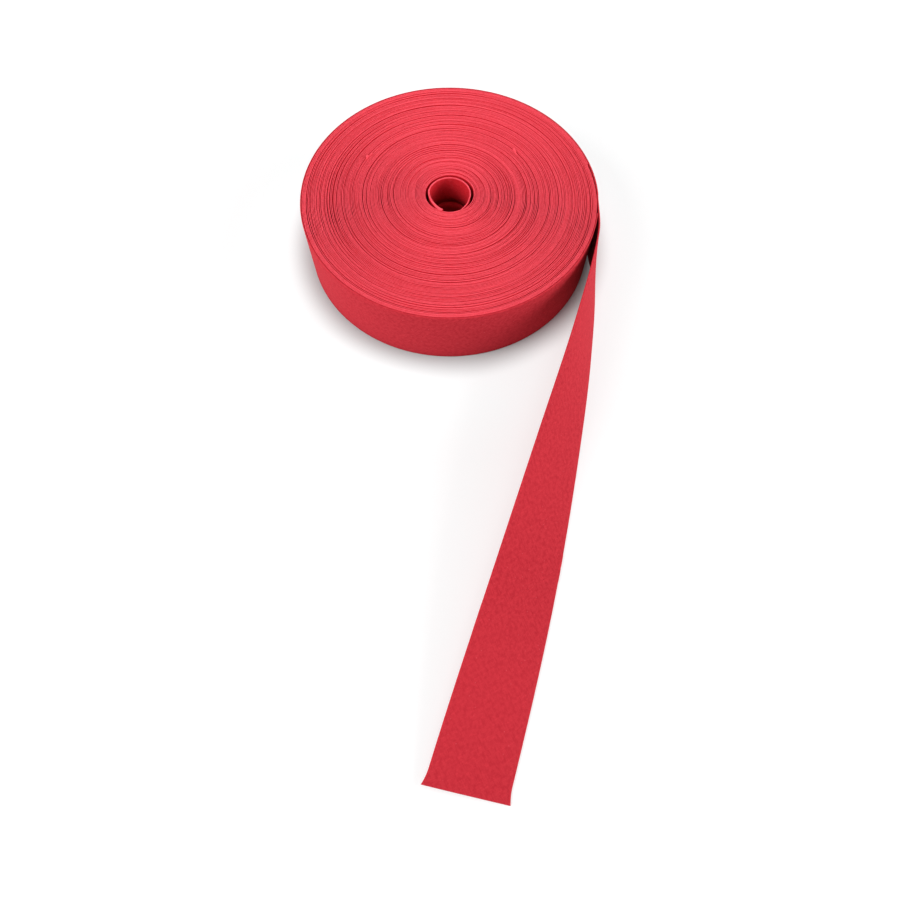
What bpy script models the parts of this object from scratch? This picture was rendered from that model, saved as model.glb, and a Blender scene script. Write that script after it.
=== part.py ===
"""Coreless roll of folded bias binding tape, lying flat, with its free end drawn off across the table.

The tape is made of cloth lengths joined end to end, so each wound length is a ring of its own,
and a sewing thread lies in each diagonal join. The outermost turn slides round the pack, and the
free tail swings out from the point where it leaves the roll.
"""

import math

import bmesh
import bpy
from mathutils import Matrix, Vector

# Driving dimensions, in metres and degrees
TAPE_WIDTH = 0.030  # folded width, which is the height of the roll
TAPE_THICKNESS = 0.0008  # folded tape, loose
ROLL_RADIUS = 0.067
HOLE_RADIUS = 0.0105
WOUND_LENGTHS = 12  # cloth lengths in the pack
CLOTH_LENGTH = 2.0  # one bias-cut length, from edge to edge of the cloth
CLEARANCE = 0.0003  # between neighbouring solids
RING_STEPS = 64
TAPE_COLOR = (0.55, 0.04, 0.07)
THREAD_COLOR = (0.45, 0.03, 0.06)

THREAD_RADIUS = 0.000175
GROOVE_RADIUS = 0.00045
THREAD_DEPTH = 0.0003  # thread's middle, below the outer face of its ring
JOIN_MARGIN = 0.0015  # from the ends of a join's thread to the tape's edges
JOIN_STEPS = 10

# Plan of the loose innermost turn, as angles in degrees and radii: straight cut end, circle, pack
INNER_END = ((258.0, 0.0104), (230.0, 0.0077), (200.0, 0.0078), (182.0, 0.0090))
LOOSE_RADIUS = 0.0094
LOOSE_ANGLES = range(170, -40, -10)
PACK_ENTRY = ((-40.0, 0.0098), (-60.0, 0.0106))

PEEL_OPENING = 10.0  # angle left open behind the peeling tape
TAIL_PLAN = (  # middle of the tail seen from above, from the point where it leaves the roll
    (0.0000, 0.000),
    (0.0006, -0.022),
    (-0.0087, -0.067),
    (-0.0217, -0.115),
    (-0.0384, -0.172),
    (-0.0601, -0.240),
)
TAIL_STEPS = 60
END_LEAN = 85.0  # how far the upright tape has turned over at its cut end
TAIL_JOIN = 0.72  # share of the tail's length at which its diagonal join lies
TAIL_JOIN_OPENING = 0.0010

# Derived sizes
RUNNING_INNER = ROLL_RADIUS - TAPE_THICKNESS
PACK_RADIUS = RUNNING_INNER - CLEARANCE
PEEL_RADIUS = ROLL_RADIUS - TAPE_THICKNESS / 2


def clear_scene():
    for obj in list(bpy.data.objects):
        bpy.data.objects.remove(obj, do_unlink=True)


def make_collection(name, hidden=False):
    collection = bpy.data.collections.new(name)
    bpy.context.scene.collection.children.link(collection)
    collection.hide_render = hidden
    return collection


def make_material(name, color, roughness):
    material = bpy.data.materials.new(name)
    material.use_nodes = True
    shader = material.node_tree.nodes["Principled BSDF"]
    shader.inputs["Base Color"].default_value = (*color, 1.0)
    shader.inputs["Roughness"].default_value = roughness
    shader.inputs["Metallic"].default_value = 0.0
    return material


def make_empty(name, place, parent=None):
    empty = bpy.data.objects.new(name, None)
    empty.empty_display_size = 0.01
    empty.location = place
    empty.parent = parent
    parts.objects.link(empty)
    return empty


def add_object(name, mesh, parent):
    mesh.materials.append(make_material(name, TAPE_COLOR, 0.9))
    obj = bpy.data.objects.new(name, mesh)
    obj.parent = parent
    parts.objects.link(obj)
    return obj


def add_cutter(name, mesh, parent):
    obj = bpy.data.objects.new(name, mesh)
    obj.parent = parent
    obj.hide_render = True
    obj.display_type = "WIRE"
    cutters.objects.link(obj)
    return obj


def add_boolean(obj, other, operation):
    boolean = obj.modifiers.new(other.name, "BOOLEAN")
    boolean.operation = operation
    boolean.object = other


def ring_profile(name, inner, outer):
    """Rectangular section of a ring, running down its outer side."""
    mesh = bpy.data.meshes.new(name)
    bm = bmesh.new()
    corners = ((inner, TAPE_WIDTH), (outer, TAPE_WIDTH), (outer, 0.0), (inner, 0.0))
    verts = [bm.verts.new((r, 0.0, z)) for r, z in corners]
    for start, end in zip(verts, verts[1:] + verts[:1]):
        bm.edges.new((start, end))
    bm.to_mesh(mesh)
    bm.free()
    return mesh


def make_ring(name, inner, outer):
    """Annular band of wound tape, turned about the roll's axis."""
    ring = add_object(name, ring_profile(name, inner, outer), roll_axis)
    screw = ring.modifiers.new("turn", "SCREW")
    screw.angle = math.tau
    screw.steps = RING_STEPS
    screw.render_steps = RING_STEPS
    screw.use_merge_vertices = True
    screw.merge_threshold = 0.00001
    screw.use_smooth_shade = False
    return ring


def make_tube(name, points, radius, parent):
    """Round tube through the points, as a curve object."""
    curve = bpy.data.curves.new(name, "CURVE")
    curve.dimensions = "3D"
    curve.bevel_depth = radius
    curve.bevel_resolution = 2
    curve.use_fill_caps = True
    spline = curve.splines.new("POLY")
    spline.points.add(len(points) - 1)
    for point, place in zip(spline.points, points):
        point.co = (*place, 1.0)
    tube = bpy.data.objects.new(name, curve)
    tube.parent = parent
    return tube


def add_thread(name, points, parent):
    """Sewing thread of one diagonal join."""
    thread = make_tube(name, points, THREAD_RADIUS, parent)
    thread.data.materials.append(make_material(name, THREAD_COLOR, 0.7))
    parts.objects.link(thread)


def tube_cutter(name, points, radius, parent):
    """The same tube as a closed mesh, which a Boolean can use."""
    tube = make_tube(name + "_curve", points, radius, parent)
    cutters.objects.link(tube)
    graph = bpy.context.evaluated_depsgraph_get()
    mesh = bpy.data.meshes.new_from_object(tube.evaluated_get(graph))
    mesh.name = name
    bpy.data.objects.remove(tube)
    bm = bmesh.new()
    bm.from_mesh(mesh)
    bmesh.ops.remove_doubles(bm, verts=bm.verts, dist=0.000001)
    bmesh.ops.recalc_face_normals(bm, faces=bm.faces)
    bm.to_mesh(mesh)
    bm.free()
    return add_cutter(name, mesh, parent)


def join_path(radius, angle, extra=0.0):
    """Diagonal join across the tape: it climbs as far as it runs round the roll.

    extra lengthens both ends, for the groove that the thread lies in.
    """
    low = JOIN_MARGIN - extra
    rise = TAPE_WIDTH - 2 * low
    points = []
    for step in range(JOIN_STEPS + 1):
        climbed = rise * step / JOIN_STEPS
        turned = angle + (climbed - rise / 2) / radius
        points.append(Vector((radius * math.cos(turned), radius * math.sin(turned), low + climbed)))
    return points


def add_join(number, ring, radius, angle):
    """Thread of one diagonal join, in a groove of the ring that it ends."""
    middle = radius - THREAD_DEPTH
    name = f"join_thread_{number:02d}"
    add_thread(name, join_path(middle, angle), roll_axis)
    room = GROOVE_RADIUS - THREAD_RADIUS
    groove_path = join_path(middle, angle, room)
    groove = tube_cutter(f"join_groove_{number:02d}", groove_path, GROOVE_RADIUS, roll_axis)
    add_boolean(ring, groove, "DIFFERENCE")


def add_chain(bm, places):
    """Open row of vertices joined by edges."""
    verts = [bm.verts.new(place) for place in places]
    return [bm.edges.new(pair) for pair in zip(verts, verts[1:])]


def band_mesh(name, low_edge, high_edge):
    """Sheet between two open rows of points, which Solidify thickens."""
    mesh = bpy.data.meshes.new(name)
    bm = bmesh.new()
    edges = add_chain(bm, low_edge) + add_chain(bm, high_edge)
    bmesh.ops.bridge_loops(bm, edges=edges)
    bm.to_mesh(mesh)
    bm.free()
    return mesh


def thicken(obj):
    """Gives a sheet the tape's thickness, half on each side."""
    solidify = obj.modifiers.new("thickness", "SOLIDIFY")
    solidify.thickness = TAPE_THICKNESS
    solidify.offset = 0.0


def polar(angle, radius):
    """Plan point at an angle in degrees and a radius from the roll's axis."""
    turned = math.radians(angle)
    return Vector((math.cos(turned), math.sin(turned), 0.0)) * radius


def add_loose_turn(ring):
    """Joins the loose innermost turn to the first wound length, which it belongs to."""
    bend = tuple((angle, LOOSE_RADIUS) for angle in LOOSE_ANGLES)
    low = [polar(angle, radius) for angle, radius in INNER_END + bend + PACK_ENTRY]
    high = [place + Vector((0.0, 0.0, TAPE_WIDTH)) for place in low]
    turn = add_cutter("loose_inner_turn", band_mesh("loose_inner_turn", low, high), roll_axis)
    thicken(turn)
    add_boolean(ring, turn, "UNION")


def box_cutter(name, parent, center, sides, turn=None):
    """Box of the given sides, turned by a matrix and then moved to its centre."""
    mesh = bpy.data.meshes.new(name)
    bm = bmesh.new()
    bmesh.ops.create_cube(bm, size=1.0)
    bmesh.ops.scale(bm, verts=bm.verts, vec=sides)
    if turn is not None:
        bmesh.ops.transform(bm, verts=bm.verts, matrix=turn.to_4x4())
    bmesh.ops.translate(bm, verts=bm.verts, vec=center)
    bm.to_mesh(mesh)
    bm.free()
    return add_cutter(name, mesh, parent)


def hermite(start, end, leave, arrive, share):
    """Point of a cubic piece, with the directions it leaves and arrives in."""
    square, cube = share**2, share**3
    return (
        start * (2 * cube - 3 * square + 1)
        + leave * (cube - 2 * square + share)
        + end * (3 * square - 2 * cube)
        + arrive * (cube - square)
    )


def tail_middle(share):
    """Plan point of the tail's middle line at a share of its way from the roll to the cut end."""
    knots = [Vector(place) for place in TAIL_PLAN]
    lengths = [(b - a).length for a, b in zip(knots, knots[1:])]
    slopes = [Vector((0.0, -1.0))]
    for before, here, after in zip(knots, knots[1:], knots[2:]):
        slopes.append((after - before).normalized())
    slopes.append((knots[-1] - knots[-2]).normalized())
    walked = share * sum(lengths)
    piece = 0
    while piece < len(lengths) - 1 and walked > lengths[piece]:
        walked -= lengths[piece]
        piece += 1
    size = lengths[piece]
    leave, arrive = slopes[piece] * size, slopes[piece + 1] * size
    return hermite(knots[piece], knots[piece + 1], leave, arrive, walked / size)


def tail_frame(share):
    """Middle point, direction across the tape and direction out of its outer face."""
    step = 0.002
    before, after = tail_middle(max(share - step, 0.0)), tail_middle(min(share + step, 1.0))
    along = (after - before).normalized()
    outward = Vector((-along.y, along.x, 0.0))
    lean = math.radians(END_LEAN) * share
    across = Vector((0.0, 0.0, math.cos(lean))) - outward * math.sin(lean)
    face = outward * math.cos(lean) + Vector((0.0, 0.0, math.sin(lean)))
    height = TAPE_WIDTH / 2 * math.cos(lean) + TAPE_THICKNESS / 2 * math.sin(lean)
    middle = tail_middle(share)
    return Vector((middle.x, middle.y, height)), across, face


def tail_point(share, width):
    """Point on the tail's middle surface: width runs from -1 at the lower edge to 1 at the upper."""
    middle, across, _ = tail_frame(share)
    return middle + across * (width * TAPE_WIDTH / 2)


def tail_edges():
    """Lower and upper edge of the tail, from just clear of the running turn to the cut end."""
    shares = [step / TAIL_STEPS for step in range(TAIL_STEPS + 1)]
    low = [tail_point(share, -1.0) for share in shares]
    high = [tail_point(share, 1.0) for share in shares]
    root = Vector((0.0, -CLEARANCE, 0.0))
    low[0] += root
    high[0] += root
    return low, high


def tail_length():
    knots = [Vector(place) for place in TAIL_PLAN]
    return sum((b - a).length for a, b in zip(knots, knots[1:]))


def join_share(width):
    """Share of the tail's length at which the diagonal join crosses this width."""
    return TAIL_JOIN + width * TAPE_WIDTH / 2 / tail_length()


def roll_place():
    """Place of the roll's axis that puts the middle of the whole object's base at the origin."""
    low, high = tail_edges()
    half = TAPE_THICKNESS / 2
    right = PEEL_RADIUS + max(place.x for place in low + high) + half
    front = min(place.y for place in low + high)
    return Vector(((ROLL_RADIUS - right) / 2, -(ROLL_RADIUS + front) / 2, 0.0))


def wound_radii():
    """Radii between the wound lengths, which hold equal areas of tape."""
    inner, outer = HOLE_RADIUS**2, PACK_RADIUS**2
    return [math.sqrt(inner + (outer - inner) * n / WOUND_LENGTHS) for n in range(WOUND_LENGTHS + 1)]


def add_pack():
    """The wound lengths, each a ring, with the thread of the join that ends it."""
    radii = wound_radii()
    angle = 0.0
    for number in range(1, WOUND_LENGTHS + 1):
        inner = radii[number - 1] + (CLEARANCE if number > 1 else 0.0)
        outer = radii[number]
        ring = make_ring(f"wound_length_{number:02d}", inner, outer)
        angle += CLOTH_LENGTH / ((inner + outer) / 2)
        if number == 1:
            add_loose_turn(ring)
        if number < WOUND_LENGTHS:
            add_join(number, ring, outer, angle % math.tau)


def add_running_turn():
    """Outermost turn, open behind the place where the tape peels off."""
    turn = make_ring("running_turn", RUNNING_INNER, ROLL_RADIUS)
    back = ROLL_RADIUS * math.sin(math.radians(PEEL_OPENING))
    middle = Vector((ROLL_RADIUS, (CLEARANCE - back) / 2, TAPE_WIDTH / 2))
    sides = (HOLE_RADIUS, back + CLEARANCE, TAPE_WIDTH * 2)
    opening = box_cutter("peel_opening", roll_axis, middle, sides)
    add_boolean(turn, opening, "DIFFERENCE")


def add_tail():
    """Free tail in two cloth lengths, with the thread of the diagonal join between them."""
    low, high = tail_edges()
    start, end = tail_point(join_share(-1.0), -1.0), tail_point(join_share(1.0), 1.0)
    middle = (start + end) / 2
    across = (end - start).normalized()
    _, _, face = tail_frame(TAIL_JOIN)
    onward = face.cross(across).normalized()
    if onward.y > 0:
        onward.negate()
    face = across.cross(onward)
    turn = Matrix((across, onward, face)).transposed()
    side = 2 * tail_length()
    for name, way in (("free_tail", 1.0), ("end_length", -1.0)):
        piece = add_object(name, band_mesh(name, low, high), tail_hinge)
        thicken(piece)
        center = middle + onward * way * (side / 2 - TAIL_JOIN_OPENING / 2)
        cutter = box_cutter(name + "_cut", tail_hinge, center, (side, side, side), turn)
        add_boolean(piece, cutter, "DIFFERENCE")
    widths = [-1.0 + 2.0 * step / JOIN_STEPS for step in range(JOIN_STEPS + 1)]
    inside = 1.0 - 2 * JOIN_MARGIN / TAPE_WIDTH
    points = [tail_point(join_share(width * inside), width * inside) for width in widths]
    add_thread("tail_join_thread", points, tail_hinge)


clear_scene()
parts = make_collection("binding_tape_roll")
cutters = make_collection("cutters", hidden=True)
roll_axis = make_empty("roll_axis", roll_place())
tail_hinge = make_empty("tail_hinge", Vector((PEEL_RADIUS, 0.0, 0.0)), roll_axis)
bpy.context.view_layer.update()
add_pack()
add_running_turn()
add_tail()
bpy.context.view_layer.update()
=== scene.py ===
import math

import bmesh
import bpy
import numpy as np
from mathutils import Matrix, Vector


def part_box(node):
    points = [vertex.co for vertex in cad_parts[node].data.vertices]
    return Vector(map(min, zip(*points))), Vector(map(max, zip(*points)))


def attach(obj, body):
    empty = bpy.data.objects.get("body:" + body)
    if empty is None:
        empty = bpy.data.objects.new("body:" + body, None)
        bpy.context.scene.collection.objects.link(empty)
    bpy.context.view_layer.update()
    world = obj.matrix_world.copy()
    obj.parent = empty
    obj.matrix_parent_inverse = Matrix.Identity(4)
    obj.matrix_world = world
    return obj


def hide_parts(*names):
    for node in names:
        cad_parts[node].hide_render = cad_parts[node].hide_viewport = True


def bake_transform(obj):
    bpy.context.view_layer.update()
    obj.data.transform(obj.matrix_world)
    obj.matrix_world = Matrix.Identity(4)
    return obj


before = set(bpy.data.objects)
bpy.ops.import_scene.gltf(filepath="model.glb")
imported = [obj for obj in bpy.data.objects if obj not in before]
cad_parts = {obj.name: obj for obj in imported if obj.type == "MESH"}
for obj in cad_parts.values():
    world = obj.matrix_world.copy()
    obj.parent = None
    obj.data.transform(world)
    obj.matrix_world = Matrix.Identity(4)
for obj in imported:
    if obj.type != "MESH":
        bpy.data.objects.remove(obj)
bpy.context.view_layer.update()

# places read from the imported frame, in metres
ringLow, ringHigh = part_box("wound_length_12")
rollAxis = np.array([(ringLow[0] + ringHigh[0]) / 2, (ringLow[1] + ringHigh[1]) / 2, 0.0])
packRadius = (ringHigh[0] - ringLow[0]) / 2
tapeWidth = ringHigh[2] - ringLow[2]
peelRadius = 0.0666                          # middle of the outermost turn
tailHinge = rollAxis + np.array([peelRadius, 0.0, 0.0])
woundCount = 12
lengthEdges = [0.0105]                       # radius where each wound length ends
for number in range(1, woundCount + 1):
    low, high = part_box(f"wound_length_{number:02d}")
    lengthEdges.append((high[0] - low[0]) / 2)
print("frame read, pack radius", round(packRadius, 5))


# camera

cameraValues = {"lens": 26.0, "tilt": 22.6, "place": (0.0003, -0.2186, 0.2549)}


def addCamera():
    camera = bpy.data.cameras.new("camera")
    camera.lens = cameraValues["lens"]
    camera.sensor_width = 36.0
    camera.clip_start = 0.005
    holder = bpy.data.objects.new("camera", camera)
    holder.location = Vector(rollAxis) + Vector(cameraValues["place"])
    holder.rotation_euler = (math.radians(cameraValues["tilt"]), 0.0, 0.0)
    bpy.context.scene.collection.objects.link(holder)
    bpy.context.scene.camera = holder


addCamera()
print("camera placed")


# shader sockets written as numbers

class Wire:
    def __init__(self, tree, socket):
        self.tree = tree
        self.socket = socket

    def maths(self, operation, *values):
        return addNode(self.tree, "ShaderNodeMath", {"operation": operation}, (self,) + values)

    def __add__(self, other):
        return self.maths("ADD", other)

    def __sub__(self, other):
        return self.maths("SUBTRACT", other)

    def __mul__(self, other):
        return self.maths("MULTIPLY", other)

    def __rsub__(self, other):
        return self * -1.0 + other

    __radd__ = __add__
    __rmul__ = __mul__

    def floor(self):
        return self.maths("FLOOR")

    def absolute(self):
        return self.maths("ABSOLUTE")

    def between(self, low, high):
        settings = {"interpolation_type": "SMOOTHSTEP", "clamp": True}
        return addNode(self.tree, "ShaderNodeMapRange", settings, (self, low, high, 0.0, 1.0))


def plugIn(tree, socket, value):
    if isinstance(value, Wire):
        tree.links.new(value.socket, socket)
    else:
        socket.default_value = value


def addNode(tree, kind, settings, values=(), named=None, output=0):
    node = tree.nodes.new(kind)
    for key, value in settings.items():
        setattr(node, key, value)
    for socket, value in zip(node.inputs, values):
        plugIn(tree, socket, value)
    for key, value in (named or {}).items():
        plugIn(tree, node.inputs[key], value)
    return Wire(tree, node.outputs[output]) if len(node.outputs) else None


def mixColours(tree, share, first, second, blend="MIX"):
    node = tree.nodes.new("ShaderNodeMix")
    node.data_type = "RGBA"
    node.blend_type = blend
    plugIn(tree, node.inputs[0], share)
    plugIn(tree, node.inputs[6], first)
    plugIn(tree, node.inputs[7], second)
    return Wire(tree, node.outputs[2])


# cotton and thread finishes

# the lighter fold colour is rubbed wear plus a painted highlight on the fold ridges
cottonValues = {
    "cloth": (0.460, 0.036, 0.050, 1.0), "deep": (0.340, 0.018, 0.030, 1.0),
    "wornAndHighlit": (0.720, 0.052, 0.070, 1.0), "slub": (0.540, 0.044, 0.060, 1.0),
    "lint": (0.80, 0.30, 0.33, 1.0),
    "yarnPitch": 0.00038, "roughness": 0.90, "sheen": 0.03, "sheenRoughness": 0.5,
    "weaveRelief": 0.00006, "weaveShade": 0.30, "foldWearAndHighlight": 0.55, "foldReach": (0.0001, 0.0007),
    "patchScale": 650.0, "dyeScale": 9.0, "lintScale": 420.0, "lintSize": (0.03, 0.09),
    "specular": 0.08, "sheenTint": (1.0, 0.60, 0.62, 1.0),
}


def makeCotton(name, values):
    # plain weave lying on the bias: both sets of yarns run at 45 degrees to the tape's edges
    material = bpy.data.materials.new(name)
    material.use_nodes = True
    tree = material.node_tree
    tree.nodes.clear()
    uv = addNode(tree, "ShaderNodeUVMap", {"uv_map": "tape"})
    parts = addNode(tree, "ShaderNodeSeparateXYZ", {}, (uv,))
    along = parts
    across = Wire(tree, parts.socket.node.outputs[1])
    scale = 1 / (values["yarnPitch"] * math.sqrt(2))
    warp = (along + across) * scale
    weft = (along - across) * scale
    warpCell = warp.floor()
    weftCell = weft.floor()
    warpPlace = (warp - warpCell - 0.5) * 2.0
    weftPlace = (weft - weftCell - 0.5) * 2.0
    over = (warpCell + weftCell).maths("PINGPONG", 1.0)
    warpRound = 1.0 - warpPlace * warpPlace
    weftRound = 1.0 - weftPlace * weftPlace
    warpYarn = warpRound * (weftRound * 0.5 + 0.5)
    weftYarn = weftRound * (warpRound * 0.5 + 0.5)
    weave = over * warpYarn + (1.0 - over) * weftYarn

    slubSpace = addNode(tree, "ShaderNodeCombineXYZ", {}, (warp * 0.11, weft * 0.9, 0.0))
    warpSlub = addNode(tree, "ShaderNodeTexNoise", {}, (slubSpace,),
                       {"Scale": 1.0, "Detail": 2.0, "Roughness": 0.6})
    crossSpace = addNode(tree, "ShaderNodeCombineXYZ", {}, (warp * 0.9, weft * 0.11, 5.0))
    weftSlub = addNode(tree, "ShaderNodeTexNoise", {}, (crossSpace,),
                       {"Scale": 1.0, "Detail": 2.0, "Roughness": 0.6})
    patches = addNode(tree, "ShaderNodeTexNoise", {}, (uv,),
                      {"Scale": values["patchScale"], "Detail": 3.0, "Roughness": 0.6})
    dyeing = addNode(tree, "ShaderNodeTexNoise", {}, (uv,),
                     {"Scale": values["dyeScale"], "Detail": 1.0, "Roughness": 0.4})
    lint = addNode(tree, "ShaderNodeTexVoronoi", {"feature": "F1"}, (uv,), {"Scale": values["lintScale"]})
    foldNear = across.absolute() - tapeWidth / 2
    foldLine = 1.0 - foldNear.absolute().between(*values["foldReach"])

    colour = mixColours(tree, warpSlub.between(0.48, 0.72) * 0.80, values["cloth"], values["slub"])
    colour = mixColours(tree, weftSlub.between(0.48, 0.74) * 0.65, colour, values["deep"])
    colour = mixColours(tree, patches.between(0.40, 0.68) * 0.55, colour, values["deep"])
    colour = mixColours(tree, dyeing.between(0.35, 0.70) * 0.30, colour, values["slub"])
    weaveShade = (1.0 - weave.between(0.0, 0.45)) * (1.0 - foldLine * 0.8) * values["weaveShade"]
    colour = mixColours(tree, weaveShade, colour, values["deep"])
    # near each fold the cloth is painted lighter: rubbed wear and a painted highlight on the ridge top
    wearAndHighlight = foldLine * values["foldWearAndHighlight"] * (patches * 1.1 + 0.25)
    colour = mixColours(tree, wearAndHighlight, colour, values["wornAndHighlit"])
    colour = mixColours(tree, (1.0 - lint.between(*values["lintSize"])) * 0.20, colour, values["lint"])

    relief = (weave + warpSlub * 0.7 + weftSlub * 0.7) * (1.0 - foldLine * 0.6) + patches * 0.8
    bump = addNode(tree, "ShaderNodeBump", {},
                   named={"Strength": 0.55, "Distance": values["weaveRelief"], "Height": relief})
    shader = addNode(tree, "ShaderNodeBsdfPrincipled", {}, named={
        "Base Color": colour, "Roughness": values["roughness"] - foldLine * 0.10, "Normal": bump,
        "Sheen Weight": values["sheen"], "Sheen Roughness": values["sheenRoughness"],
        "Sheen Tint": values["sheenTint"], "Specular IOR Level": values["specular"]})
    addNode(tree, "ShaderNodeOutputMaterial", {}, (shader,))
    return material


threadValues = {"colour": (0.62, 0.05, 0.07, 1.0), "dark": (0.38, 0.01, 0.02, 1.0), "twist": 2600.0}


def makeThread(name, values):
    material = bpy.data.materials.new(name)
    material.use_nodes = True
    tree = material.node_tree
    tree.nodes.clear()
    place = addNode(tree, "ShaderNodeTexCoord", {}, output=3)
    twist = addNode(tree, "ShaderNodeTexWave", {"wave_type": "BANDS", "bands_direction": "DIAGONAL"},
                    (place,), {"Scale": values["twist"], "Distortion": 1.5, "Detail": 2.0})
    strength = Wire(tree, twist.socket.node.outputs[1])
    colour = mixColours(tree, strength * 0.6, values["colour"], values["dark"])
    bump = addNode(tree, "ShaderNodeBump", {},
                   named={"Strength": 0.5, "Distance": 0.00003, "Height": strength})
    shader = addNode(tree, "ShaderNodeBsdfPrincipled", {}, named={
        "Base Color": colour, "Roughness": 0.55 + strength * 0.1, "Normal": bump,
        "Sheen Weight": 0.2})
    addNode(tree, "ShaderNodeOutputMaterial", {}, (shader,))
    return material


# the wound pack's cotton carries a strong painted highlight on its fold ridges, the drawn-off tail's a
# faint one
cotton = makeCotton("red bias cotton", dict(
    cottonValues, foldWearAndHighlight=1.15, foldReach=(0.00004, 0.00024), wornAndHighlit=(0.800, 0.104, 0.138, 1.0),
    cloth=(0.600, 0.022, 0.036, 1.0), deep=(0.450, 0.012, 0.022, 1.0)))
cottonTail = makeCotton("red bias cotton, drawn off", dict(cottonValues, foldWearAndHighlight=0.15))
sewingThread = makeThread("red sewing thread", threadValues)
print("cotton and thread finishes made")


# cross-sections of the tape
# each row: depth out of the face, height, place across the flat cloth, free allowance

def pressedSection(width, thickness, sideCuts, foldCuts):
    half = thickness / 2
    wall = width / 2 - half
    rows = []
    for step in range(sideCuts + 1):          # up the back from its middle
        rows.append((-half, wall * step / sideCuts, width - wall * step / sideCuts, 0.0))
    for step in range(1, foldCuts + 1):       # over the top fold
        turn = math.pi * step / foldCuts
        across = width / 2 + half - thickness * step / foldCuts
        rows.append((-half * math.cos(turn), wall + half * math.sin(turn), across, 0.0))
    for step in range(1, 2 * sideCuts + 1):   # down the face
        height = wall - wall * step / sideCuts
        rows.append((half, height, height, 0.0))
    for step in range(1, foldCuts + 1):       # under the lower fold
        turn = math.pi * step / foldCuts
        across = -width / 2 + half - thickness * step / foldCuts
        rows.append((half * math.cos(turn), -wall - half * math.sin(turn), across, 0.0))
    for step in range(1, sideCuts + 1):       # back up to the middle of the back
        rows.append((-half, -wall + wall * step / sideCuts, -width + wall * (1 - step / sideCuts), 0.0))
    return np.array(rows)


def foldedSection(width, cloth, apart, allowance, sideCuts, foldCuts):
    # one cloth folded over at both edges, so its raw edges meet at the middle of the back
    bend = apart / 2
    wall = width / 2 - bend - cloth / 2
    middle = []                               # depth, height, normal depth, normal height, across, free
    for step in range(sideCuts + 1):
        free = allowance * (1 - step / sideCuts)
        middle.append((-bend, wall - free, -1.0, 0.0, width / 2 + free, free))
    for step in range(1, foldCuts):
        turn = math.pi * step / foldCuts
        middle.append((-bend * math.cos(turn), wall + bend * math.sin(turn),
                       -math.cos(turn), math.sin(turn), width / 2 + bend * (1 - 2 * step / foldCuts), 0.0))
    for step in range(2 * sideCuts + 1):
        height = wall * (1 - step / sideCuts)
        middle.append((bend, height, 1.0, 0.0, height, 0.0))
    for step in range(1, foldCuts):
        turn = math.pi * step / foldCuts
        middle.append((bend * math.cos(turn), -wall - bend * math.sin(turn),
                       math.cos(turn), -math.sin(turn), -width / 2 + bend * (1 - 2 * step / foldCuts), 0.0))
    for step in range(sideCuts + 1):
        free = allowance * step / sideCuts
        middle.append((-bend, -wall + free, -1.0, 0.0, -width / 2 - free, -free))
    outer = [(d + nd * cloth / 2, h + nh * cloth / 2, a, f) for d, h, nd, nh, a, f in middle]
    inner = [(d - nd * cloth / 2, h - nh * cloth / 2, a, f) for d, h, nd, nh, a, f in reversed(middle)]
    return np.array(outer + inner + outer[:1])


# strips: a grid whose rows close round the cross-section

def startMesh():
    mesh = bmesh.new()
    mesh.loops.layers.uv.new("tape")
    return mesh


def addStrip(mesh, section, steps, route):
    # route turns shares of the way and section rows into places and distances along the tape
    uvLayer = mesh.loops.layers.uv["tape"]
    rowCount = len(section) - 1
    made = bmesh.ops.create_grid(mesh, x_segments=steps, y_segments=rowCount, size=0.5)
    points = made["verts"]
    flat = np.array([point.co[:] for point in points])
    share = np.clip(flat[:, 0] + 0.5, 0.0, 1.0)
    row = np.rint((flat[:, 1] + 0.5) * rowCount).astype(int)
    places, along = route(share, section[row])
    across = section[row, 2]
    spots = {}
    for point, place, distance, width in zip(points, places.tolist(), along.tolist(), across.tolist()):
        point.co = place
        spots[point] = (distance, width)
    faces = {face for point in points for face in point.link_faces}
    for face in faces:
        face.smooth = True
        for corner in face.loops:
            corner[uvLayer].uv = spots[corner.vert]
    seam = [point for point, at in zip(points, row) if at in (0, rowCount)]
    bmesh.ops.remove_doubles(mesh, verts=seam, dist=1e-7)
    ends = [edge for edge in mesh.edges if edge.is_boundary]
    filled = bmesh.ops.holes_fill(mesh, edges=ends, sides=0)
    for edge in ends:
        edge.smooth = False
    for face in filled["faces"]:
        face.smooth = False
    bmesh.ops.recalc_face_normals(mesh, faces=mesh.faces[:])


def finishPiece(mesh, name, material, body):
    data = bpy.data.meshes.new(name)
    mesh.to_mesh(data)
    mesh.free()
    piece = bpy.data.objects.new(name, data)
    bpy.context.scene.collection.objects.link(piece)
    data.materials.append(material)
    if body:
        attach(piece, body)
    return piece


def eased(part):
    # a share from 0 to 1 that starts and stops gently
    return part * part * (3 - 2 * part)


def smoothNoise(rng, count, spacing):
    # a random line that changes gently, one value for each place
    knots = rng.uniform(-1.0, 1.0, int(count / spacing) + 3)
    at = np.arange(count) / spacing
    low = at.astype(int)
    part = eased(at - low)
    return knots[low] * (1 - part) + knots[low + 1] * part


def curveBetween(part, here, there, leave, arrive):
    # a cubic from here to there that leaves and arrives in the given directions
    squared, cubed = part * part, part ** 3
    return ((2 * cubed - 3 * squared + 1) * here + (cubed - 2 * squared + part) * leave
            + (-2 * cubed + 3 * squared) * there + (cubed - squared) * arrive)


def aroundRoll(radius, angle):
    return rollAxis[0] + radius * np.cos(angle), rollAxis[1] + radius * np.sin(angle)


# wound pack

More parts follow.
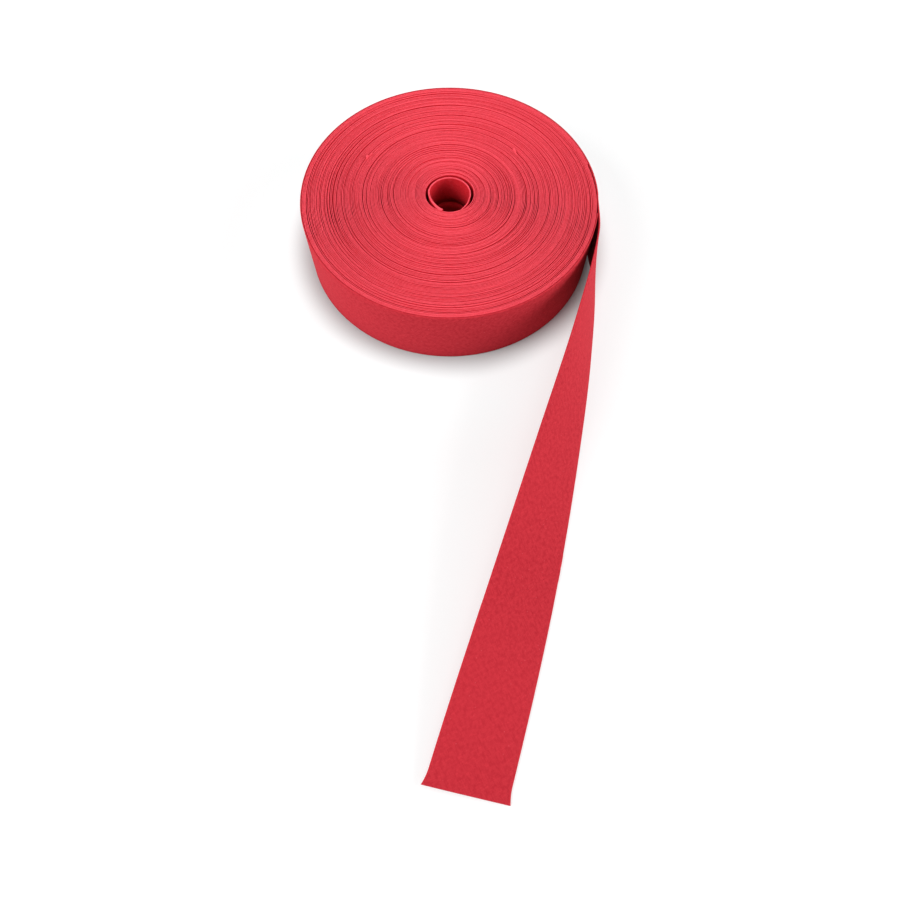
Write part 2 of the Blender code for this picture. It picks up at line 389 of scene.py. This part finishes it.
packValues = {
    "turns": 101, "stepsATurn": 180, "thickness": 0.00040, "seamAngle": -10.0, "lastPart": 0.93,
    "outerClearance": -0.00017, "entryAngle": -60.0, "edgeDrop": 0.00060,
    "seed": 103,                              # keeps every wound length between 1.8 and 2.2 m
    "looseness": ((0.45, 0.40), (0.25, 0.11)),     # size and spacing, in gaps and turns
    "grooves": 150, "grooveDepth": 4.4, "grooveHalf": (0.07, 0.80), "grooveStrength": (0.3, 1.0),
    "firstGroove": 2.0, "tightTurns": 3, "tightGap": 1.3, "leastGap": 0.25,
    "sideCuts": 3, "foldCuts": 4, "joinSlant": 0.060,
}


def windPack(values):
    # middle radius, top drop and bottom rise at each step of the way from the hole outwards
    rng = np.random.default_rng(values["seed"])
    steps = values["stepsATurn"]
    turns = values["turns"]
    count = (turns + 1) * steps + 1
    way = np.arange(count) / steps
    gap = 1.0
    for size, spacing in values["looseness"]:
        gap = gap + size * smoothNoise(rng, count, steps * spacing)
    grooveSpan = turns - values["tightTurns"] - values["firstGroove"]
    for groove in range(values["grooves"]):
        centre = values["firstGroove"] + (groove + rng.uniform(0.0, 1.0)) / values["grooves"] * grooveSpan
        half = rng.uniform(*values["grooveHalf"])
        depth = rng.uniform(*values["grooveStrength"]) ** 2 * values["grooveDepth"]
        near = np.clip(np.abs(way - centre) / half, 0.0, 1.0)
        gap += depth * (0.5 + 0.5 * np.cos(np.pi * near)) * (near < 1.0)
    tight = np.clip((way - (turns - values["tightTurns"])) / 2.0, 0.0, 1.0)
    gap = np.maximum(gap, values["leastGap"]) * (1 - tight) + values["tightGap"] * tight
    half = values["thickness"] / 2
    innerMiddle = lengthEdges[0] + half
    outerMiddle = packRadius - values["outerClearance"] - half
    rounds = np.arange(1, turns)
    pitch = (outerMiddle - innerMiddle) / (turns - 1)
    unit = pitch - values["thickness"]
    radius = np.zeros(count)
    radius[:steps] = innerMiddle + pitch * way[:steps]
    for step in range(steps):
        part = step / steps
        ramp = min(max((part - values["lastPart"]) / (1 - values["lastPart"]), 0.0), 1.0)
        rest = outerMiddle + ramp * pitch - radius[step] - (turns - 1) * values["thickness"]
        places = rounds * steps + step
        share = gap[places] * rest / gap[places].sum()
        radius[places] = radius[step] + np.cumsum(share + values["thickness"])
    radius[turns * steps:] = radius[turns * steps - 1] + unit
    drop = 0.5 + 0.5 * smoothNoise(rng, count, steps * 0.55)
    drop = 0.7 * drop * drop + 0.3 * (0.5 + 0.5 * smoothNoise(rng, count, steps * 0.07))
    rise = (0.5 + 0.5 * smoothNoise(rng, count, steps * 0.6)) ** 2
    drop *= 1 - 0.75 * tight
    return way, radius, drop * values["edgeDrop"], rise * values["edgeDrop"]


way, turnRadius, topDrop, bottomRise = windPack(packValues)
wayLength = np.concatenate(([0.0], np.cumsum(2 * math.pi * turnRadius[:-1] / packValues["stepsATurn"])))
packEnd = packValues["turns"] - 1 + packValues["lastPart"]
packStart = (packValues["seamAngle"] - packValues["entryAngle"]) / 360
joinAngles = {4: 39.9, 5: 149.6}             # joins whose ears stand proud


def joinPlace(number):
    # turns from the start of the pack to the join that ends this wound length
    if number == 0:
        return packStart
    if number == woundCount:
        return packEnd
    middle = np.searchsorted(turnRadius, lengthEdges[number]) / packValues["stepsATurn"]
    if number in joinAngles:
        part = ((packValues["seamAngle"] - joinAngles[number]) / 360) % 1.0
        middle = math.floor(middle) + part
    return middle


def packRoute(first, last, slantFirst, slantLast):
    total = wayLength[-1]

    def route(share, rows):
        turn = first + (last - first) * share
        radius = np.interp(turn, way, turnRadius)
        along = np.interp(turn, way, wayLength)
        firstAlong = np.interp(first, way, wayLength)
        lastAlong = np.interp(last, way, wayLength)
        reach = packValues["joinSlant"]
        near = np.clip(1 - (along - firstAlong) / reach, 0, 1) * slantFirst
        near = near + np.clip(1 - (lastAlong - along) / reach, 0, 1) * slantLast
        near = eased(near)
        turn = turn + rows[:, 1] * near / (2 * math.pi * radius)
        along = along + rows[:, 1] * near
        radius = np.interp(turn, way, turnRadius)
        top = tapeWidth - np.interp(turn, way, topDrop)
        bottom = np.interp(turn, way, bottomRise)
        height = (top + bottom) / 2 + rows[:, 1] * (top - bottom) / tapeWidth
        angle = math.radians(packValues["seamAngle"]) - 2 * math.pi * turn
        x, y = aroundRoll(radius + rows[:, 0], angle)
        return np.stack([x, y, height], 1), along - total

    return route


# loose innermost turn: angle in degrees and radius of its middle, from the cut inner end to the pack

innerValues = {
    "cloth": 0.00026, "apart": 0.00032, "allowance": 0.0143, "sideCuts": 4, "foldCuts": 6, "steps": 150,
    "end": ((251.0, 0.0101), (236.0, 0.0095), (213.0, 0.0089), (195.0, 0.0089), (182.0, 0.0091)),
    "round": 0.0094, "roundFirst": 170.0, "roundLast": -20.0,
    "topDrop": 0.0003, "endPuff": 0.0007, "puffReach": 0.007,
}


def innerRoute(values):
    knots = list(values["end"])
    angle = values["roundFirst"]
    while angle >= values["roundLast"]:
        knots.append((angle, values["round"]))
        angle -= 10.0
    entry = np.interp(packStart, way, turnRadius)
    knots += [(-38.0, (values["round"] * 0.6 + entry * 0.4)), (packValues["entryAngle"], entry)]
    angles = np.radians([knot[0] for knot in knots])
    radii = np.array([knot[1] for knot in knots])
    spots = np.stack([radii * np.cos(angles), radii * np.sin(angles)], 1)
    fine = [spots[0]]                         # a smooth line through the knots
    for at in range(len(spots) - 1):
        before = spots[max(at - 1, 0)]
        after = spots[min(at + 2, len(spots) - 1)]
        leave = (spots[at + 1] - before) / 2
        arrive = (after - spots[at]) / 2
        for part in np.linspace(0.1, 1.0, 10):
            fine.append(curveBetween(part, spots[at], spots[at + 1], leave, arrive))
    line = np.array(fine)
    walked = np.concatenate(([0.0], np.cumsum(np.linalg.norm(np.diff(line, axis=0), axis=1))))
    total = walked[-1]
    towards = np.gradient(line, walked, axis=0)
    towards /= np.linalg.norm(towards, axis=1)[:, None]
    startDrop = np.interp(packStart, way, topDrop)
    startRise = np.interp(packStart, way, bottomRise)

    def route(share, rows):
        at = share * total
        place = np.stack([np.interp(at, walked, line[:, side]) for side in (0, 1)], 1)
        head = np.stack([np.interp(at, walked, towards[:, side]) for side in (0, 1)], 1)
        outward = np.stack([-head[:, 1], head[:, 0]], 1)
        puff = 1 + values["endPuff"] / values["apart"] * np.exp(-at / values["puffReach"])
        top = tapeWidth - values["topDrop"] + (values["topDrop"] - startDrop) * share
        bottom = startRise * share
        height = (top + bottom) / 2 + rows[:, 1] * (top - bottom) / tapeWidth
        spot = place + outward * (rows[:, 0] * puff)[:, None] + rollAxis[:2]
        return np.column_stack([spot, height]), at - total - 1.0

    return route, total


def joinEar(mesh, turn, values):
    # tip of a join's pressed-open allowance, standing out of the roll's top
    radius = np.interp(turn, way, turnRadius)
    top = tapeWidth - np.interp(turn, way, topDrop)
    angle = math.radians(packValues["seamAngle"]) - 2 * math.pi * turn
    made = bmesh.ops.create_cube(mesh, size=1.0)
    points = made["verts"]
    edges = list({edge for point in points for edge in point.link_edges})
    bmesh.ops.bevel(mesh, geom=edges, offset=0.12, segments=2, profile=0.5, affect="EDGES", material=-1,
                    clamp_overlap=True)
    fresh = [point for point in mesh.verts if max(abs(point.co.x), abs(point.co.y), abs(point.co.z)) > 0.3]
    uvLayer = mesh.loops.layers.uv["tape"]
    for corner in {corner for point in fresh for corner in point.link_loops}:
        corner[uvLayer].uv = (0.01, tapeWidth / 2)
    for point in fresh:
        tall = point.co.z + 0.5
        side = point.co.x * values["length"] * (1 - 0.75 * tall) + values["lean"] * tall
        out = point.co.y * values["thick"] + values["splay"] * tall
        x, y = aroundRoll(radius + out, angle + side / radius)
        point.co = (x, y, top - values["sunk"] + tall * (values["proud"] + values["sunk"]))


earValues = {
    "length": 0.0030, "thick": 0.00040, "proud": 0.0009, "sunk": 0.0006, "lean": 0.0008,
    "splay": 0.0005,
}
otherEarValues = dict(earValues, lean=-0.0008, splay=-0.0007, proud=0.0007)
earSpacing = 0.004                           # turns between a join's two ears

packSection = pressedSection(tapeWidth, packValues["thickness"],
                             packValues["sideCuts"], packValues["foldCuts"])
innerSection = foldedSection(tapeWidth, innerValues["cloth"], innerValues["apart"],
                             innerValues["allowance"], innerValues["sideCuts"], innerValues["foldCuts"])
for number in range(1, woundCount + 1):
    first, last = joinPlace(number - 1), joinPlace(number)
    length = np.interp(last, way, wayLength) - np.interp(first, way, wayLength)
    steps = round((last - first) * packValues["stepsATurn"])
    mesh = startMesh()
    if number in joinAngles:
        joinEar(mesh, last, earValues)
        joinEar(mesh, last + earSpacing, otherEarValues)
    route = packRoute(first, last, float(number > 1), float(number < woundCount))
    addStrip(mesh, packSection, steps, route)
    if number == 1:
        route, innerLength = innerRoute(innerValues)
        addStrip(mesh, innerSection, innerValues["steps"], route)
        length += innerLength
    piece = finishPiece(mesh, f"wound_length_{number:02d}_tape", cotton, "roll")
    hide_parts(f"wound_length_{number:02d}")
print("pack wound,", packValues["turns"], "turns,", round(float(wayLength[-1]), 2), "m")


# outermost turn

turnValues = {
    "cloth": 0.00027, "apart": 0.00034, "allowance": 0.0143, "sideCuts": 4, "foldCuts": 6, "steps": 220,
    "middle": 0.06652, "first": -10.0, "last": -360.0, "settle": 25.0,
    "snug": 0.9985,                           # keeps the folds just off the floor and the rim
}


def outerRoute(values):
    def route(share, rows):
        angle = values["first"] + (values["last"] - values["first"]) * share
        ease = np.clip((values["settle"] - (angle - values["last"])) / values["settle"], 0, 1)
        radius = values["middle"] + (peelRadius - values["middle"]) * eased(ease)
        along = np.radians(values["first"] - angle) * peelRadius
        height = tapeWidth / 2 + rows[:, 1] * values["snug"]
        x, y = aroundRoll(radius + rows[:, 0], np.radians(angle))
        return np.stack([x, y, height], 1), along

    return route


tapeSection = foldedSection(tapeWidth, turnValues["cloth"], turnValues["apart"],
                            turnValues["allowance"], turnValues["sideCuts"], turnValues["foldCuts"])
turnLength = math.radians(turnValues["first"] - turnValues["last"]) * peelRadius
mesh = startMesh()
addStrip(mesh, tapeSection, turnValues["steps"], outerRoute(turnValues))
outerTurn = finishPiece(mesh, "outermost_turn_tape", cottonTail, "running")
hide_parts("running_turn")
print("outermost turn made")


# free tail: its middle line in plan from where it leaves the roll, turning over as it goes

tailValues = {
    "plan": ((0.0, 0.0), (0.0006, -0.022), (-0.0087, -0.067), (-0.0217, -0.115), (-0.0384, -0.172),
             (-0.0601, -0.240)),
    "endLean": 85.0, "thickness": 0.0008, "join": 0.72, "steps": 170, "endSteps": 110,
    "grooveDepth": 0.00010, "grooveWidth": 0.00045, "raise": 0.00012, "raiseReach": 0.0060,
    "raiseEdge": 0.0012, "backRaise": 0.00008,
    "tuck": 0.040, "tuckReach": 0.13, "longer": 0.0026, "longerSlant": 0.0015,
    "flare": 0.0009, "flareReach": 0.0060, "curl": 0.0006,
}


def tailLine(values, share):
    knots = np.array(values["plan"])
    spans = np.diff(knots, axis=0)
    lengths = np.linalg.norm(spans, axis=1)
    slopes = np.concatenate(([[0.0, -1.0]], knots[2:] - knots[:-2], spans[-1:]))
    slopes /= np.linalg.norm(slopes, axis=1)[:, None]
    starts = np.concatenate(([0.0], np.cumsum(lengths)))
    walked = np.clip(share, 0.0, 1.0) * starts[-1]
    at = np.clip(np.searchsorted(starts, walked, side="left") - 1, 0, len(lengths) - 1)
    size = lengths[at]
    part = ((walked - starts[at]) / size)[:, None]
    leave, arrive = slopes[at] * size[:, None], slopes[at + 1] * size[:, None]
    line = curveBetween(part, knots[at], knots[at + 1], leave, arrive)
    return line + slopes[-1] * (np.maximum(share - 1.0, 0.0) * starts[-1])[:, None]


tailLength = float(np.linalg.norm(np.diff(np.array(tailValues["plan"]), axis=0), axis=1).sum())


def tailPlaces(values, share, height, depth):
    step = 0.002
    head = tailLine(values, share + step) - tailLine(values, np.maximum(share - step, 0.0))
    head /= np.linalg.norm(head, axis=1)[:, None]
    middle = tailLine(values, share)
    lean = np.radians(values["endLean"]) * share
    outX, outY = -head[:, 1], head[:, 0]
    sine, cosine = np.sin(lean), np.cos(lean)
    lift = tapeWidth / 2 * cosine + values["thickness"] / 2 * sine
    tuck = np.sin(np.pi * np.clip(share / values["tuckReach"], 0, 1)) ** 2 * values["tuck"]
    depth = depth - tuck * (tapeWidth / 2 - height)   # lower edge stays by the roll a little longer
    x = tailHinge[0] + middle[:, 0] - outX * sine * height + outX * cosine * depth
    y = tailHinge[1] + middle[:, 1] - outY * sine * height + outY * cosine * depth
    z = lift + cosine * height + sine * depth
    return np.stack([x, y, np.maximum(z, 0.00003)], 1)


def tailRoute(values, spread, begin, finish, cutEnd=False):
    # begin and finish give the share of the tail's length at each height
    def route(share, rows):
        height, depth, free = rows[:, 1], rows[:, 0], rows[:, 3]
        low, high = begin(height), finish(height)
        at = low + (high - low) * spread(share)
        along = at * tailLength
        seam = (at - values["join"]) * tailLength - height
        faced = depth > 0
        groove = np.exp(-(seam / values["grooveWidth"]) ** 2) * values["grooveDepth"]
        bank = np.clip((values["raiseReach"] - np.abs(seam)) / values["raiseEdge"], 0, 1)
        back = -bank * values["backRaise"] + groove * 0.6
        depth = depth + np.where(faced, bank * values["raise"] - groove, back)
        left = (finish(height) - at) * tailLength if cutEnd else 1.0
        near = np.clip(1 - left / values["flareReach"], 0, 1) ** 2
        edge = height / (tapeWidth / 2)
        height = height * (turnValues["snug"] + near * values["flare"] / (tapeWidth / 2))
        depth = depth - near * values["curl"] * edge ** 4 * (edge > 0)
        return tailPlaces(values, at, height, depth), along + turnLength

    return route


def joinShare(height):
    return tailValues["join"] + height / tailLength


def cutShare(height):
    longer = tailValues["longer"] + tailValues["longerSlant"] * height / (tapeWidth / 2)
    return 1.0 + longer / tailLength


mesh = startMesh()
addStrip(mesh, tapeSection, tailValues["steps"], tailRoute(
    tailValues, lambda share: 1 - (1 - share) ** 1.7, lambda height: height * 0.0, joinShare))
freeTail = finishPiece(mesh, "free_tail_tape", cottonTail, None)
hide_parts("free_tail")
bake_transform(freeTail)

mesh = startMesh()
addStrip(mesh, tapeSection, tailValues["endSteps"], tailRoute(
    tailValues, lambda share: np.where(share < 0.5, 2 * share * share, 1 - 2 * (1 - share) ** 2),
    joinShare, cutShare, cutEnd=True))
endLength = finishPiece(mesh, "end_length_tape", cottonTail, "tail")
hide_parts("end_length")
print("free tail and end length made")


# stitches of the tail's join, each a short bar across the seam

stitchValues = {
    "count": 22, "length": 0.00075, "radius": 0.00010, "depth": 0.00022, "span": 0.94, "slant": 0.8,
}


def addStitches(values):
    mesh = bmesh.new()
    for number in range(values["count"]):
        height = (number + 0.5) / values["count"] * values["span"] * tapeWidth
        height -= values["span"] / 2 * tapeWidth
        made = bmesh.ops.create_uvsphere(mesh, u_segments=8, v_segments=6, radius=1.0)
        local = np.array([point.co[:] for point in made["verts"]])
        ahead = local[:, 0] * values["length"] / 2
        up = height + local[:, 1] * values["radius"] - ahead * values["slant"]
        share = tailValues["join"] + (height + ahead) / tailLength
        places = tailPlaces(tailValues, share, up, values["depth"] + local[:, 2] * values["radius"])
        for point, place in zip(made["verts"], places.tolist()):
            point.co = place
    for face in mesh.faces:
        face.smooth = True
    bmesh.ops.recalc_face_normals(mesh, faces=mesh.faces[:])
    return finishPiece(mesh, "join_stitches", sewingThread, "tail")


stitches = addStitches(stitchValues)
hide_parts("tail_join_thread")
for name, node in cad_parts.items():
    if name.startswith("join_thread"):
        node.data.materials.clear()
        node.data.materials.append(sewingThread)
print("join stitches made")


# floor and studio light

studioValues = {
    "floor": (0.42, 0.42, 0.42, 1.0), "cloud": (0.40, 0.40, 0.41, 1.0), "floorSize": 24.0,
    # the near-black floor under the roll is painted shade in its hole
    "underRollShade": (0.05, 0.02, 0.02, 1.0), "underRollShadeReach": (0.020, 0.030),
    # the cool grey beside the roll is painted to cancel the red light the roll reflects onto the floor
    "bounceCancelTint": (0.44, 0.48, 0.48, 1.0), "bounceCancelReach": (0.075, 0.120),
    # the floor's glow is painted light; it is held off close to the roll as a painted contact shadow
    "glow": (0.43, 0.43, 0.43, 1.0), "glowShadowReach": (0.064, 0.080),
    "farGlow": (0.90, 0.90, 0.90, 1.0), "farReach": (0.26, 0.60),
    "horizon": (0.84, 0.84, 0.84, 1.0), "zenith": (0.16, 0.16, 0.16, 1.0), "skyReach": (0.34, 0.85),
    "aim": (0.0, -0.02, 0.0),
    "key": {"place": (-1.1, -0.45, 0.85), "size": 0.8, "power": 13.0},
    "fill": {"place": (1.2, 0.0, 0.50), "size": 0.7, "power": 10.0},
    "overhead": {"place": (0.0, 0.05, 1.30), "size": 1.1, "power": 4.4},
}


def makeFloorPaint(values):
    material = bpy.data.materials.new("white studio floor")
    material.use_nodes = True
    tree = material.node_tree
    tree.nodes.clear()
    place = addNode(tree, "ShaderNodeTexCoord", {}, output=3)
    cloud = addNode(tree, "ShaderNodeTexNoise", {}, (place,), {"Scale": 3.0, "Detail": 2.0})
    colour = mixColours(tree, cloud * 0.05, values["floor"], values["cloud"])
    fromAxis = addNode(tree, "ShaderNodeVectorMath", {"operation": "DISTANCE"},
                       (place, tuple(rollAxis)), output=1)
    black = (0.0, 0.0, 0.0, 1.0)
    # the floor glows, painted light that keeps it white; the glow is held off within a ring round the roll
    # as a painted contact shadow and rises far off
    glow = mixColours(tree, fromAxis.between(*values["glowShadowReach"]), black, values["glow"])
    glow = mixColours(tree, fromAxis.between(*values["farReach"]), glow, values["farGlow"])
    # a cool grey near the roll, painted to cancel the red light the roll reflects onto the floor
    colour = mixColours(tree, fromAxis.between(*values["bounceCancelReach"]), values["bounceCancelTint"], colour)
    # painted shade: the floor under the roll, seen through its hole, is painted near black
    colour = mixColours(tree, fromAxis.between(*values["underRollShadeReach"]), values["underRollShade"], colour)
    shader = addNode(tree, "ShaderNodeBsdfPrincipled", {}, named={
        "Base Color": colour, "Roughness": 0.9, "Specular IOR Level": 0.0,
        "Emission Color": glow, "Emission Strength": 1.0})
    addNode(tree, "ShaderNodeOutputMaterial", {}, (shader,))
    return material


def addLamp(name, values, aim):
    lamp = bpy.data.lights.new(name, "AREA")
    lamp.size = values["size"]
    lamp.energy = values["power"]
    holder = bpy.data.objects.new(name, lamp)
    holder.location = values["place"]
    ahead = Vector(aim) - Vector(values["place"])
    holder.rotation_euler = ahead.to_track_quat("-Z", "Y").to_euler()
    bpy.context.scene.collection.objects.link(holder)


def lightStudio(values):
    mesh = bmesh.new()
    bmesh.ops.create_grid(mesh, x_segments=1, y_segments=1, size=values["floorSize"] / 2)
    bmesh.ops.translate(mesh, verts=mesh.verts[:], vec=(0.0, 0.0, -0.0001))
    floor = finishPiece(mesh, "floor", makeFloorPaint(values), None)
    world = bpy.data.worlds.new("studio")
    world.use_nodes = True
    tree = world.node_tree
    heading = addNode(tree, "ShaderNodeTexCoord", {})
    parts = addNode(tree, "ShaderNodeSeparateXYZ", {}, (heading,))
    upward = Wire(tree, parts.socket.node.outputs[2])
    sky = mixColours(tree, upward.between(*values["skyReach"]), values["horizon"], values["zenith"])
    tree.links.new(sky.socket, tree.nodes["Background"].inputs[0])
    bpy.context.scene.world = world
    for name in ("key", "fill", "overhead"):
        addLamp(name + " light", values[name], values["aim"])
    bpy.context.scene.view_settings.view_transform = "Standard"
    bpy.context.scene.view_settings.look = "Medium High Contrast"


lightStudio(studioValues)
print("floor and light ready")
